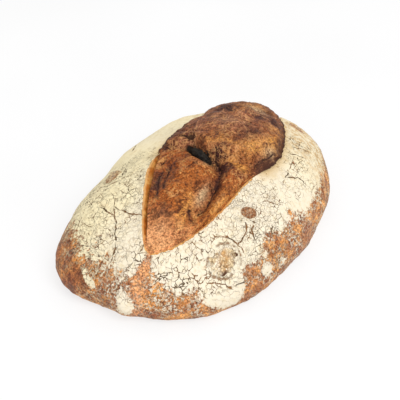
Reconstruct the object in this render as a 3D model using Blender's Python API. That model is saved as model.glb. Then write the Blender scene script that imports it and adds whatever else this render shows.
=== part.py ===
"""Walnut bread: one rustic oval loaf, floured and baked with a single long slash.

Metres, +Z up. The origin is on the flat underside, in the middle of the plan.
+X runs along the loaf, away from the pointed end of the slash, +Y is the side
on which the torn edge of the slash stands up as a broad strip.
The loaf is one closed solid. Four walnut pieces that show at the surface sit
in pockets of their own, with a thin gap all round.
"""
import math

import bmesh
import bpy
import numpy as np

for item in list(bpy.data.objects):
    bpy.data.objects.remove(item, do_unlink=True)

# Plan of the loaf
HALF_LENGTH = 0.150
HALF_WIDTH = 0.0988
SQUARENESS = 2.367
TAPER = 0.028
# Swells of the uneven plan: waves round it, share of the radius, where the first crest is
SWELLS = (
    (3, 0.0076, math.radians(67.5)),
    (4, 0.0238, math.radians(-51.3)),
    (5, 0.0149, math.radians(28.5)),
)

# Section of the loaf
DOME = 0.0822
BELLY = 0.0176
CROWN_FULLNESS = 1.88
SIDE_FULLNESS = 2.0
FOOT_INSET = 0.014
END_INSET = 0.006
END_SPREAD = 0.05

# The slash, opened by the bake: a long drop shape with its point at the near end
TIP_X = -0.116
TIP_Y = -0.022
SLASH_LENGTH = 0.2315
SLASH_TURN = math.radians(7.6)
SLASH_HALF = 0.0475
SLASH_SKEW = 1.24
EAR_AT = 0.150
EAR_REACH = 0.022
EAR_SWELL = 0.0022
# Where an edge swings out, or in if below zero: width, place, reach
LEFT_SWINGS = ((-0.0020, 0.030, 0.035), (-0.0028, 0.118, 0.030), (-0.0045, 0.170, 0.018))
RIGHT_SWINGS = ((0.0040, 0.030, 0.030), (-0.0034, 0.100, 0.024))
SWING_START = 0.012

# Heights of the opened crumb crust over the dome, in front: a swell, a valley and its shoulder
SWELL = 0.0028
VALLEY = 0.0050
VALLEY_AT = (0.066, -0.023)
VALLEY_BEND = 6.9
VALLEY_WIDTH = 0.0055
SHOULDER = 0.0028
SHOULDER_OUT = 0.0115
SHOULDER_WIDTH = 0.0065
# Soft folds: height, middle as (along, left of the slash line), lean, half length, half width
FRONT_FOLDS = (
    (0.0070, (0.072, 0.002), 0.0, 0.043, 0.0165),
    (-0.0016, (0.066, 0.020), 0.12, 0.018, 0.0028),
)
BACK_FOLDS = (
    (-0.0022, (0.200, -0.010), 0.0, 0.010, 0.014),
    (-0.0018, (0.160, 0.0065), 0.25, 0.022, 0.004),
    (0.0012, (0.145, -0.036), 0.0, 0.016, 0.006),
    (-0.0016, (0.163, 0.032), 0.0, 0.022, 0.008),
)
# Behind: one lobe that ends in a fold over the front, with raised edges
LOBE = 0.0150
FOLD_AT = 0.1150
FOLD_SWAY = 0.0065
FOLD_WAVE = 0.054
FOLD_WIDTH = 0.0065
FOLD_CREST = 0.022
EDGE_LEFT = 0.0032
EDGE_RIGHT = 0.0055
EDGE_SIDES = 0.012
EDGE_START_LEFT = 0.088
EDGE_START_RIGHT = 0.106
EDGE_START_SPAN = 0.022
FAR_RISE = 0.0042
FAR_RISE_AT = 0.170
FAR_RISE_SPAN = 0.035
FAR_FALL = 0.030
FAR_SHARE = 0.62
HUB = (0.080, 0.000)
CREVICE = 0.0095
CREVICE_AT = (0.1090, 0.0065)
CREVICE_TURN = math.radians(62.0)
CREVICE_SIZE = (0.0160, 0.0064)

# Torn edges: strip and groove in front, thin burnt overhang behind
STRIP_LEFT = 0.0074
STRIP_RIGHT = 0.0030
GROOVE_LEFT = 0.0030
GROOVE_RIGHT = 0.0014
STRIP_GAP = 0.0012
STRIP_END = 0.018
LIP = 0.0016
LIP_WIDTH = 0.0020
LIP_REACH = 0.006
CRUST = 0.0014
CRUST_ROUND = 0.0004
OVERHANG = 0.0018
UNDERCUT = 0.0012
SKIN_START = 0.0026

# Marks on the floured skin
SEAM_LENGTH = 0.040
SEAM_WIDTH = 0.0050
SEAM_DEPTH = 0.0026
SEAM_LEAN = -0.08
SEAM_LIP = 0.0012
SEAM_LIP_OUT = 0.010
HEEL_AT = (-0.147, -0.017, 0.019)
HEEL_SIZE = 0.013
HEEL_RISE = 0.0036
# The skin swells beside the lobe and beyond its far end, in the form of the folds above
SKIN_FOLDS = (
    (0.0058, (0.198, 0.060), -0.60, 0.034, 0.015),
    (0.0030, (0.247, -0.018), 0.0, 0.012, 0.016),
)
NOTCH_AT = (-0.149, 0.008, 0.013)
NOTCH_SIZE = 0.0150
NOTCH_DEPTH = 0.0046

# Mesh: rays round the loaf, and rings as shares of the way out
RAYS = 124
CRUMB_RINGS = (0.07, 0.13, 0.18, 0.23, 0.28, 0.34, 0.41, 0.49, 0.58, 0.67, 0.76, 0.85, 0.93, 1.0)
SKIN_RINGS = (0.06, 0.14, 0.23, 0.33, 0.43, 0.53, 0.63, 0.73, 0.82, 0.89, 0.95, 1.0)
FOOT_RINGS = tuple(math.radians(angle) for angle in (-22.0, -45.0, -68.0))
GAP = 0.00035

# Walnut pieces: place on the plan, half sizes, turn of the long axis, rise over the skin, waves
NUTS = {
    "walnut_shoulder": dict(at=(-0.0540, 0.0595), half=(0.0100, 0.0076, 0.0070),
                            turn=math.radians(-36.0), rise=0.0038, waves=7.0, grid=(12, 18)),
    "walnut_side": dict(at=(-0.0835, -0.0730), half=(0.0162, 0.0132, 0.0105),
                        turn=math.radians(8.0), rise=0.0056, waves=9.0, grid=(16, 26)),
    "walnut_flank": dict(at=(-0.0335, -0.0668), half=(0.0080, 0.0062, 0.0052),
                         turn=math.radians(-52.0), rise=0.0017, waves=7.0, grid=(11, 16)),
    "walnut_crown": dict(at=(-0.0088, -0.0014), half=(0.0126, 0.0044, 0.0066),
                         turn=math.radians(69.0), rise=0.0066, waves=9.0, grid=(13, 24)),
}
# Skin pushed up round a walnut piece: height and reach
PUSHED_UP = (("walnut_side", 0.0026, 0.0200), ("walnut_shoulder", 0.0014, 0.0120))


def smooth(t):
    """An even step from 0 to 1."""
    t = np.clip(t, 0.0, 1.0)
    return t * t * (3.0 - 2.0 * t)


def bump(d, width):
    """A soft hump, 1 in its middle."""
    return np.exp(-(d / width) ** 2)


def plan_radius(turn):
    """Distance from the axis to the widest line of the loaf."""
    c = np.cos(turn)
    s = np.sin(turn)
    half = HALF_WIDTH * (1.0 - TAPER * c)
    reach = np.abs(c / HALF_LENGTH) ** SQUARENESS + np.abs(s / half) ** SQUARENESS
    reach = reach ** (-1.0 / SQUARENESS)
    swell = 1.0
    for count, share, crest in SWELLS:
        swell = swell + share * np.cos(count * turn - crest)
    return reach * swell


def body(turn, lift):
    """A point of the plain loaf: lift runs from -90 degrees (foot) by 0 (belly) to 90 (crown)."""
    reach = plan_radius(turn)
    up = np.clip(lift, 0.0, math.pi / 2.0)
    down = np.clip(-lift, 0.0, math.pi / 2.0)
    inner = np.cos(up) ** (2.0 / SIDE_FULLNESS)
    # The near end is drawn in further under its belly
    inset = FOOT_INSET + END_INSET * np.exp((-np.cos(turn) - 1.0) / END_SPREAD)
    radius = reach * inner - inset * (1.0 - np.cos(down))
    height = BELLY + (DOME - BELLY) * np.sin(up) ** (2.0 / CROWN_FULLNESS) - BELLY * np.sin(down)
    return np.stack([radius * np.cos(turn), radius * np.sin(turn), height], axis=-1)


def outward(turn, lift):
    """Unit normal of the plain loaf."""
    step = 1e-3
    lift = np.clip(lift, -math.pi / 2.0 + 2.0 * step, math.pi / 2.0 - 0.02)
    along = body(turn + step, lift) - body(turn - step, lift)
    rise = body(turn, lift + step) - body(turn, lift - step)
    normal = np.cross(along, rise)
    return normal / np.linalg.norm(normal, axis=-1, keepdims=True)


def lift_of(turn, radius):
    """Lift of the point of the dome that stands over a radius."""
    share = np.clip(radius / plan_radius(turn), 0.0, 1.0)
    return np.arccos(share ** (SIDE_FULLNESS / 2.0))


def along_slash(x, y):
    """Place on the plan as (distance from the tip, distance to the left of the slash line)."""
    c = math.cos(SLASH_TURN)
    s = math.sin(SLASH_TURN)
    return (x - TIP_X) * c + (y - TIP_Y) * s, (y - TIP_Y) * c - (x - TIP_X) * s


def swing(a, table):
    """How far an edge of the slash swings out."""
    return sum(width * bump(a - place, reach) for width, place, reach in table) * smooth(a / SWING_START)


def slash_half(a, b):
    """Width of the opened slash from its line to its edge, on the side where b lies."""
    share = np.clip(a / SLASH_LENGTH, 1e-6, 1.0 - 1e-6)
    half = SLASH_HALF * np.sqrt(np.sin(math.pi * share ** SLASH_SKEW))
    right = EAR_SWELL * bump(a - EAR_AT, EAR_REACH) + swing(a, RIGHT_SWINGS)
    return half + np.where(b < 0.0, right, swing(a, LEFT_SWINGS))


def slash_radius(turn):
    """Distance from the axis to the edge of the slash, along each ray."""
    low = np.zeros_like(turn)
    high = np.full_like(turn, 0.145)
    for _ in range(44):
        mid = 0.5 * (low + high)
        a, b = along_slash(mid * np.cos(turn), mid * np.sin(turn))
        inside = (np.abs(b) < slash_half(a, b)) & (a > 0.0) & (a < SLASH_LENGTH)
        low = np.where(inside, mid, low)
        high = np.where(inside, high, mid)
    return 0.5 * (low + high)


def back_share(a, b):
    """0 where the crumb lies under the skin, 1 where the burnt lobe stands over it."""
    start = np.where(b > 0.0, EDGE_START_LEFT, EDGE_START_RIGHT)
    return smooth((a - start) / EDGE_START_SPAN)


def far_share(a):
    """The lobe sinks towards its far end."""
    return FAR_SHARE + (1.0 - FAR_SHARE) * smooth((SLASH_LENGTH - a) / FAR_FALL)


def between(b, right, left):
    """A value that differs between the right and left edges of the slash."""
    return right + (left - right) * smooth(0.5 + b / (2.0 * EDGE_SIDES))


def burnt_edge(a, b):
    """Height of the lobe's edge over the dome: the left edge rises towards its far end."""
    left = EDGE_LEFT + FAR_RISE * smooth((a - FAR_RISE_AT) / FAR_RISE_SPAN)
    return between(b, EDGE_RIGHT, left) * far_share(a)


def folds(a, b, table):
    """Sum of the soft folds in a table."""
    height = 0.0
    for rise, (at_a, at_b), lean, length, width in table:
        height = height + rise * bump(a - at_a, length) * bump(b - at_b - lean * (a - at_a), width)
    return height


def slash_relief(a, b):
    """Height of the opened crumb crust over the dome."""
    half = slash_half(a, b)
    across = np.clip(np.abs(b) / half, 0.0, 1.0)
    arch = np.sqrt(np.clip(1.0 - across ** 2, 0.0, 1.0))
    off_valley = b - VALLEY_AT[1] - VALLEY_BEND * (a - VALLEY_AT[0]) ** 2
    span = smooth((a - 0.022) / 0.020) * smooth((0.118 - a) / 0.015)
    front = SWELL * arch * smooth(a / 0.030) + folds(a, b, FRONT_FOLDS)
    front = front - VALLEY * bump(off_valley, VALLEY_WIDTH) * span
    front = front + SHOULDER * bump(off_valley + SHOULDER_OUT, SHOULDER_WIDTH) * span
    edge = burnt_edge(a, b)
    back = edge + (LOBE * far_share(a) - edge) * arch ** 1.3 + folds(a, b, BACK_FOLDS)
    fold = FOLD_AT + FOLD_SWAY * np.cos(2.0 * math.pi * (b - FOLD_CREST) / FOLD_WAVE)
    height = front + (back - front) * smooth((a - fold) / FOLD_WIDTH + 0.5)
    # The dark crevice in front of the fold
    c = math.cos(CREVICE_TURN)
    s = math.sin(CREVICE_TURN)
    u = (a - CREVICE_AT[0]) * c + (b - CREVICE_AT[1]) * s
    v = (b - CREVICE_AT[1]) * c - (a - CREVICE_AT[0]) * s
    return height - CREVICE * bump(u, CREVICE_SIZE[0]) * bump(v, CREVICE_SIZE[1])


def nut_frame(nut):
    """Middle, long axis, cross axis and up axis of a walnut piece."""
    x, y = nut["at"]
    turn = np.array(math.atan2(y, x))
    lift = lift_of(turn, np.array(math.hypot(x, y)))
    normal = outward(turn, lift)
    place = body(turn, lift) + normal * (nut["rise"] - nut["half"][2])
    long = np.array([math.cos(nut["turn"]), math.sin(nut["turn"]), 0.0])
    long = long - normal * float(long @ normal)
    long = long / np.linalg.norm(long)
    return place, long, np.cross(normal, long), normal


def skin_relief(points):
    """Unevenness of the floured skin, along its normal."""
    x = points[..., 0]
    y = points[..., 1]
    z = points[..., 2]
    height = 0.0011 * np.sin(34.0 * x + 51.0 * y + 0.6) * np.sin(47.0 * y - 23.0 * z + 1.9)
    height = height + 0.0007 * np.sin(88.0 * x - 41.0 * y + 61.0 * z + 2.2)
    # The skin is pushed up round the walnut pieces
    for name, push, width in PUSHED_UP:
        nut = NUTS[name]
        place, _, _, normal = nut_frame(nut)
        centre = place + normal * (nut["half"][2] - nut["rise"])
        height = height + push * bump(np.linalg.norm(points - centre, axis=-1), width)
    a, b = along_slash(x, y)
    height = height + folds(a, b, SKIN_FOLDS)
    # The slash runs on below its tip as a closed seam
    seam = smooth(-a / 0.004) * smooth((a + SEAM_LENGTH) / 0.012) * smooth((z - 0.012) / 0.012)
    off_seam = np.abs(b - SEAM_LEAN * a)
    height = height - SEAM_DEPTH * bump(off_seam, SEAM_WIDTH) * seam
    height = height + SEAM_LIP * bump(off_seam - SEAM_LIP_OUT, SEAM_WIDTH) * seam
    height = height + HEEL_RISE * bump(np.linalg.norm(points - np.array(HEEL_AT), axis=-1), HEEL_SIZE)
    height = height - NOTCH_DEPTH * bump(np.linalg.norm(points - np.array(NOTCH_AT), axis=-1), NOTCH_SIZE)
    return height * smooth((z - 0.001) / 0.010)


def crumb_point(x, y, share):
    """A point of the opened crumb crust, on the line from the hub to a place on the plan."""
    c = math.cos(SLASH_TURN)
    s = math.sin(SLASH_TURN)
    hub_x = TIP_X + HUB[0] * c - HUB[1] * s
    hub_y = TIP_Y + HUB[0] * s + HUB[1] * c
    x = hub_x + (x - hub_x) * share
    y = hub_y + (y - hub_y) * share
    turn = np.arctan2(y, x)
    lift = lift_of(turn, np.hypot(x, y))
    return body(turn, lift) + outward(turn, lift) * slash_relief(*along_slash(x, y))[..., None]


def loaf_rings(turn):
    """Rings of points from the crown to the foot, each ring one point to a ray."""
    edge = slash_radius(turn)
    rings = []

    def ring(radius, height):
        lift = lift_of(turn, radius)
        point = body(turn, lift)
        rings.append(point + outward(turn, lift) * height[:, None])

    # Opened crumb crust: smaller and smaller copies of the slash's edge round the hub
    a, b = along_slash(edge * np.cos(turn), edge * np.sin(turn))
    strip = between(b, STRIP_RIGHT, STRIP_LEFT)
    inner = edge - strip - STRIP_GAP
    for share in CRUMB_RINGS:
        rings.append(crumb_point(inner * np.cos(turn), inner * np.sin(turn), share))

    # Edge of the slash: groove, torn strip and lip in front, overhang behind
    behind = back_share(a, b)
    # The strip and groove die out towards the very tip
    near = smooth(a / STRIP_END)
    burnt = burnt_edge(a, b)
    skin = skin_relief(body(turn, lift_of(turn, edge)))
    low = -between(b, GROOVE_RIGHT, GROOVE_LEFT) * (0.35 + 0.65 * near)
    # Each step: way out from the edge and height, in front, then the same behind
    steps = (
        (-strip, low, -UNDERCUT, burnt),
        (-0.72 * strip, low * 0.75, OVERHANG, burnt - CRUST_ROUND),
        (-0.30 * strip, low * 0.05, OVERHANG * 0.9, burnt - CRUST_ROUND - CRUST),
        (0.0, skin + LIP, -UNDERCUT, skin + CRUST_ROUND),
        (LIP_WIDTH, skin + LIP * 0.9, SKIN_START, skin),
    )
    for out_front, high_front, out_back, high_back in steps:
        out = out_front + (out_back - out_front) * behind
        high = high_front + (high_back - high_front) * behind
        ring(edge + out, high)

    # Skin from the slash to the belly, then down to the foot
    start = lift_of(turn, edge + LIP_WIDTH + (SKIN_START - LIP_WIDTH) * behind)
    for share in SKIN_RINGS:
        lift = start * (1.0 - share)
        point = body(turn, lift)
        far = np.linalg.norm(point - body(turn, lift_of(turn, edge)), axis=-1)
        lip = LIP * bump(far, LIP_REACH) * (1.0 - behind)
        rings.append(point + outward(turn, lift) * (skin_relief(point) + lip)[:, None])
    for angle in FOOT_RINGS:
        lift = np.full_like(turn, angle)
        point = body(turn, lift)
        rings.append(point + outward(turn, lift) * skin_relief(point)[:, None])
    rings.append(body(turn, np.full_like(turn, -math.pi / 2.0)))
    return rings


def material(name, colour, roughness):
    """A plain surface."""
    made = bpy.data.materials.new(name)
    made.use_nodes = True
    shader = made.node_tree.nodes["Principled BSDF"]
    shader.inputs["Base Color"].default_value = (*colour, 1.0)
    shader.inputs["Roughness"].default_value = roughness
    return made


def solid(name, mesh, surface):
    """Turn a bmesh into a named object with smooth faces that look outward."""
    bmesh.ops.recalc_face_normals(mesh, faces=mesh.faces)
    data = bpy.data.meshes.new(name)
    mesh.to_mesh(data)
    mesh.free()
    for face in data.polygons:
        face.use_smooth = True
    data.materials.append(surface)
    made = bpy.data.objects.new(name, data)
    bpy.context.scene.collection.objects.link(made)
    return made


def loaf_mesh():
    """Crown fan, rings and flat foot as one closed mesh."""
    tip = math.atan2(TIP_Y, TIP_X)
    turn = tip + 2.0 * math.pi * np.arange(RAYS) / RAYS
    rings = loaf_rings(turn)
    mesh = bmesh.new()
    crown = mesh.verts.new(tuple(crumb_point(0.0, 0.0, 0.0)))
    rows = [[mesh.verts.new(tuple(point)) for point in ring] for ring in rings]
    for i in range(RAYS):
        j = (i + 1) % RAYS
        mesh.faces.new((crown, rows[0][i], rows[0][j]))
        for inner, outer in zip(rows, rows[1:]):
            mesh.faces.new((inner[i], outer[i], outer[j], inner[j]))
    mesh.faces.new(list(reversed(rows[-1])))
    return mesh


def nut_mesh(nut, grow=0.0):
    """A lumpy walnut piece: a wrinkled egg with a groove along it."""
    place, long, cross, up = nut_frame(nut)
    rows, cols = nut["grid"]
    waves = nut["waves"]
    mesh = bmesh.new()

    def point(polar, turn):
        d = np.array([math.cos(polar), math.sin(polar) * math.cos(turn), math.sin(polar) * math.sin(turn)])
        wrinkle = math.sin(waves * d[0] + 2.1 * math.sin(4.0 * d[1] + 0.7))
        wrinkle = wrinkle * math.sin(5.0 * d[1] + 1.3 * d[0] + 0.4)
        lump = 0.05 * math.sin(2.3 * d[0] + 1.1) * math.cos(2.9 * d[1] - 0.4)
        top = float(smooth((d[2] - 0.45) / 0.35))
        size = 1.0 + lump + top * (0.085 * wrinkle - 0.09 * math.exp(-(d[1] / 0.16) ** 2))
        local = d * np.array(nut["half"]) * size + d * grow
        return place + long * local[0] + cross * local[1] + up * local[2]

    first = mesh.verts.new(tuple(point(0.0, 0.0)))
    last = mesh.verts.new(tuple(point(math.pi, 0.0)))
    grid = []
    for i in range(1, rows):
        polar = math.pi * i / rows
        grid.append([mesh.verts.new(tuple(point(polar, 2.0 * math.pi * j / cols))) for j in range(cols)])
    for j in range(cols):
        k = (j + 1) % cols
        mesh.faces.new((first, grid[0][j], grid[0][k]))
        mesh.faces.new((last, grid[-1][k], grid[-1][j]))
        for near, far in zip(grid, grid[1:]):
            mesh.faces.new((near[j], far[j], far[k], near[k]))
    return mesh


crust = material("floured_crust", (0.62, 0.50, 0.33), 0.85)
kernel = material("walnut_skin", (0.30, 0.17, 0.08), 0.6)
pale_kernel = material("floured_walnut", (0.60, 0.47, 0.28), 0.75)
charred = material("charred_walnut", (0.045, 0.035, 0.028), 0.7)
surfaces = {
    "walnut_shoulder": kernel,
    "walnut_side": pale_kernel,
    "walnut_flank": kernel,
    "walnut_crown": charred,
}

loaf = solid("loaf", loaf_mesh(), crust)
for nut_name, nut in NUTS.items():
    solid(nut_name, nut_mesh(nut), surfaces[nut_name])
    pocket = solid(nut_name + "_pocket", nut_mesh(nut, GAP), crust)
    pocket.hide_render = True
    pocket.display_type = "WIRE"
    cut = loaf.modifiers.new("cut_" + nut_name, "BOOLEAN")
    cut.operation = "DIFFERENCE"
    cut.solver = "EXACT"
    cut.object = pocket
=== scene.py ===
"""Walnut bread, dressed: the loaf and its walnut pieces in full detail, lit softly on a pale floor.

Metres, +Z up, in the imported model's own frame. The loaf's form is worked out from the
same sizes as its solid, with finer rings and fine relief; flour, crackle, bare crust
and bloom are node materials steered by a few fields that the mesh carries.
"""
import math

import bpy
import numpy as np
from mathutils import Matrix, Vector, noise


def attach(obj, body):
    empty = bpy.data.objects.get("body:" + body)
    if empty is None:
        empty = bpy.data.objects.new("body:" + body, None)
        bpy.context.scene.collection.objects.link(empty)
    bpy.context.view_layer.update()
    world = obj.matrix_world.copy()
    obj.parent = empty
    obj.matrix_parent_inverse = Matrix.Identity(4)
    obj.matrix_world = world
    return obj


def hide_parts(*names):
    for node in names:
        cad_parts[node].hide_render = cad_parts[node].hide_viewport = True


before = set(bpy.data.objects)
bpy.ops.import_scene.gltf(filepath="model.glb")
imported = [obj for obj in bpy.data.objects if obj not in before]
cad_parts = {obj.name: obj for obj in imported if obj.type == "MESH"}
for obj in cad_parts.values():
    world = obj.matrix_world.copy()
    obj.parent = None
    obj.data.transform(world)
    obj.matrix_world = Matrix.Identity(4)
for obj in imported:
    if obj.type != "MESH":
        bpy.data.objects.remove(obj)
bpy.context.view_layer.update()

# Plan of the loaf
HALF_LENGTH = 0.150
HALF_WIDTH = 0.0988
SQUARENESS = 2.367
TAPER = 0.028
# Swells of the uneven plan: waves round it, share of the radius, where the first crest is
SWELLS = (
    (3, 0.0076, math.radians(67.5)),
    (4, 0.0238, math.radians(-51.3)),
    (5, 0.0149, math.radians(28.5)),
)

# Section of the loaf
DOME = 0.0822
BELLY = 0.0176
CROWN_FULLNESS = 1.88
SIDE_FULLNESS = 2.0
FOOT_INSET = 0.014
END_INSET = 0.006
END_SPREAD = 0.05

# The slash
TIP_X = -0.116
TIP_Y = -0.022
SLASH_LENGTH = 0.2315
SLASH_TURN = math.radians(7.6)
SLASH_HALF = 0.0475
SLASH_SKEW = 1.24
EAR_AT = 0.150
EAR_REACH = 0.022
EAR_SWELL = 0.0022
# Where an edge swings out, or in if below zero: width, place, reach
LEFT_SWINGS = ((-0.0020, 0.030, 0.035), (-0.0028, 0.118, 0.030), (-0.0045, 0.170, 0.018))
RIGHT_SWINGS = ((0.0040, 0.030, 0.030), (-0.0034, 0.100, 0.024))
SWING_START = 0.012

# Heights of the opened crumb crust
SWELL = 0.0028
VALLEY = 0.0050
VALLEY_AT = (0.066, -0.023)
VALLEY_BEND = 6.9
VALLEY_WIDTH = 0.0055
SHOULDER = 0.0028
SHOULDER_OUT = 0.0115
SHOULDER_WIDTH = 0.0065
# Where the valley begins and ends along the slash, each with the length over which it does
VALLEY_BEGINS = (0.022, 0.020)
VALLEY_ENDS = (0.118, 0.015)
SWELL_BEGINS = 0.030
# Soft folds: height, middle as (along, left of the slash line), lean, half length, half width
FRONT_FOLDS = (
    (0.0070, (0.072, 0.002), 0.0, 0.043, 0.0165),
    (-0.0016, (0.066, 0.020), 0.12, 0.018, 0.0028),
)
BACK_FOLDS = (
    (-0.0022, (0.200, -0.010), 0.0, 0.010, 0.014),
    (-0.0018, (0.160, 0.0065), 0.25, 0.022, 0.004),
    (0.0012, (0.145, -0.036), 0.0, 0.016, 0.006),
    (-0.0016, (0.163, 0.032), 0.0, 0.022, 0.008),
)
# Behind: one lobe that ends in a fold over the front, with raised edges
LOBE = 0.0150
LOBE_ROUND = 1.3
FOLD_AT = 0.1150
FOLD_SWAY = 0.0065
FOLD_WAVE = 0.054
FOLD_WIDTH = 0.0065
FOLD_CREST = 0.022
EDGE_LEFT = 0.0032
EDGE_RIGHT = 0.0055
EDGE_SIDES = 0.012
EDGE_START_LEFT = 0.088
EDGE_START_RIGHT = 0.106
EDGE_START_SPAN = 0.022
FAR_RISE = 0.0042
FAR_RISE_AT = 0.170
FAR_RISE_SPAN = 0.035
FAR_FALL = 0.030
FAR_SHARE = 0.62
HUB = (0.080, 0.000)
CREVICE = 0.0095
CREVICE_AT = (0.1090, 0.0065)
CREVICE_TURN = math.radians(62.0)
CREVICE_SIZE = (0.0160, 0.0064)

# Torn edges
STRIP_LEFT = 0.0074
STRIP_RIGHT = 0.0030
GROOVE_LEFT = 0.0030
GROOVE_RIGHT = 0.0014
STRIP_GAP = 0.0012
STRIP_END = 0.018
LIP = 0.0016
LIP_WIDTH = 0.0020
LIP_REACH = 0.006
SKIN_START = 0.0026

# Marks on the floured skin
SEAM_LENGTH = 0.040
SEAM_WIDTH = 0.0050
SEAM_DEPTH = 0.0026
SEAM_LEAN = -0.08
SEAM_LIP = 0.0012
SEAM_LIP_OUT = 0.010
SEAM_BEGINS = 0.004
SEAM_FADES = 0.012
SEAM_LOW = 0.012
HEEL_AT = (-0.147, -0.017, 0.019)
HEEL_SIZE = 0.013
HEEL_RISE = 0.0036
# The skin swells beside the lobe and beyond its far end, in the form of the folds above
SKIN_FOLDS = (
    (0.0058, (0.198, 0.060), -0.60, 0.034, 0.015),
    (0.0030, (0.247, -0.018), 0.0, 0.012, 0.016),
)
NOTCH_AT = (-0.149, 0.008, 0.013)
NOTCH_SIZE = 0.0150
NOTCH_DEPTH = 0.0046

# Walnut pieces: place on the plan, half sizes, turn of the long axis, rise over the skin,
# waves, size of the folds, depth of the furrows and of the lumps
NUTS = {
    "walnut_shoulder": dict(at=(-0.0540, 0.0595), half=(0.0100, 0.0076, 0.0070), turn=math.radians(-36.0),
                            rise=0.0038, waves=7.0, fold=0.55, furrow=0.06, lumps=0.02),
    "walnut_side": dict(at=(-0.0835, -0.0730), half=(0.0162, 0.0132, 0.0105), turn=math.radians(8.0),
                        rise=0.0056, waves=9.0, fold=0.42, furrow=0.14, lumps=0.08),
    "walnut_flank": dict(at=(-0.0335, -0.0668), half=(0.0080, 0.0062, 0.0052), turn=math.radians(-52.0),
                         rise=0.0017, waves=7.0, fold=0.42, furrow=0.05, lumps=0.02),
    "walnut_crown": dict(at=(-0.0088, -0.0014), half=(0.0126, 0.0044, 0.0066), turn=math.radians(69.0),
                         rise=0.0066, waves=9.0, fold=0.35, furrow=0.12, lumps=0.05),
}
# Brown spots with painted shade, and warm patches, on a walnut piece: two level parts of the unit
# direction from its middle, and size
STAINS_AND_SHADE = {
    # On the floured piece: brown spots, painted shade along one side and a painted dark hole
    "walnut_side": ((0.62, -0.28, 0.27), (0.30, -0.60, 0.15), (-0.52, -0.60, 0.22), (0.76, 0.08, 0.14)),
}
WARM_PATCHES = {
    "walnut_side": ((-0.05, 0.00, 0.42), (-0.36, -0.32, 0.28), (0.20, 0.40, 0.22)),
}
# Skin pushed up round a walnut piece: height and reach
PUSHED_UP = (("walnut_side", 0.0026, 0.0200), ("walnut_shoulder", 0.0014, 0.0120))

# Fine mesh
RAYS = 560
CRUMB_RINGS = 70
SKIN_RINGS = 70
FOOT_RINGS = 12
UNDER_RINGS = 7
UNDER_BARE = 2.4
# First ring of the skin, counted from the crumb's last ring
SKIN_STEP = 8

# Profile of the torn edge in front: way in as a share of the strip, or out in metres,
# share of the groove's depth and share of the lip
FRONT_EDGE = (
    (-1.08, 0.0, 0.60, 0.0), (-1.0, 0.0, 1.0, 0.0), (-0.88, 0.0, 0.96, 0.0), (-0.72, 0.0, 0.70, 0.0),
    (-0.54, 0.0, 0.38, 0.05), (-0.36, 0.0, 0.10, 0.25), (-0.20, 0.0, 0.0, 0.62), (-0.09, 0.0, 0.0, 0.90),
    (0.0, 0.0, 0.0, 1.0), (0.0, 0.0007, 0.0, 1.05), (0.0, 0.0013, 0.0, 1.0), (0.0, 0.0020, 0.0, 0.9),
)
# Behind: (way out, share of the burnt edge's height over the skin, drop below it)
BACK_EDGE = (
    (-0.0012, 1.0, 0.0), (0.0, 1.0, 0.0), (0.0012, 1.0, 0.0001), (0.00175, 1.0, 0.0004),
    (0.0019, 1.0, 0.0009), (0.00175, 1.0, 0.0015), (0.0013, 1.0, 0.0019), (0.0003, 1.0, 0.0022),
    (-0.0010, 0.5, 0.0), (-0.0014, 0.12, 0.0), (-0.0006, 0.04, 0.0), (0.0026, 0.0, 0.0),
)


def smooth(t):
    """An even step from 0 to 1."""
    t = np.clip(t, 0.0, 1.0)
    return t * t * (3.0 - 2.0 * t)


def ramp(value, start, length):
    """0 up to a start, and 1 from a length further on."""
    return smooth((value - start) / length)


def fall(value, end, length):
    """0 from an end on, and 1 up to a length before it."""
    return smooth((end - value) / length)


def bump(d, width):
    """A soft hump, 1 in its middle."""
    return np.exp(-(d / width) ** 2)


def spot(points, place, size):
    """1 at a place in space, falling off softly over the given size."""
    return bump(np.linalg.norm(points - np.array(place), axis=-1), size)


def grain(points, size, octaves=2, shift=0.0):
    """Soft noise of about -1 to 1 with humps about as wide as size."""
    flat = points.reshape(-1, 3) / size + shift
    values = [noise.fractal(Vector(place), 1.0, 2.1, octaves) for place in flat]
    return np.array(values).reshape(points.shape[:-1])


# The loaf's form


def plan_radius(turn):
    """Distance from the axis to the widest line of the loaf."""
    c = np.cos(turn)
    s = np.sin(turn)
    half = HALF_WIDTH * (1.0 - TAPER * c)
    reach = np.abs(c / HALF_LENGTH) ** SQUARENESS + np.abs(s / half) ** SQUARENESS
    reach = reach ** (-1.0 / SQUARENESS)
    swell = 1.0
    for count, share, crest in SWELLS:
        swell = swell + share * np.cos(count * turn - crest)
    return reach * swell


def body(turn, lift):
    """A point of the plain loaf: lift runs from -90 degrees (foot) by 0 (belly) to 90 (crown)."""
    reach = plan_radius(turn)
    up = np.clip(lift, 0.0, math.pi / 2.0)
    down = np.clip(-lift, 0.0, math.pi / 2.0)
    inner = np.cos(up) ** (2.0 / SIDE_FULLNESS)
    inset = FOOT_INSET + END_INSET * np.exp((-np.cos(turn) - 1.0) / END_SPREAD)
    radius = reach * inner - inset * (1.0 - np.cos(down))
    height = BELLY + (DOME - BELLY) * np.sin(up) ** (2.0 / CROWN_FULLNESS) - BELLY * np.sin(down)
    return np.stack([radius * np.cos(turn), radius * np.sin(turn), height], axis=-1)


def outward(turn, lift):
    """Unit normal of the plain loaf."""
    step = 1e-3
    lift = np.clip(lift, -math.pi / 2.0 + 2.0 * step, math.pi / 2.0 - 0.02)
    along = body(turn + step, lift) - body(turn - step, lift)
    rise = body(turn, lift + step) - body(turn, lift - step)
    normal = np.cross(along, rise)
    return normal / np.linalg.norm(normal, axis=-1, keepdims=True)


def lift_of(turn, radius):
    """Lift of the point of the dome that stands over a radius."""
    share = np.clip(radius / plan_radius(turn), 0.0, 1.0)
    return np.arccos(share ** (SIDE_FULLNESS / 2.0))


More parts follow.
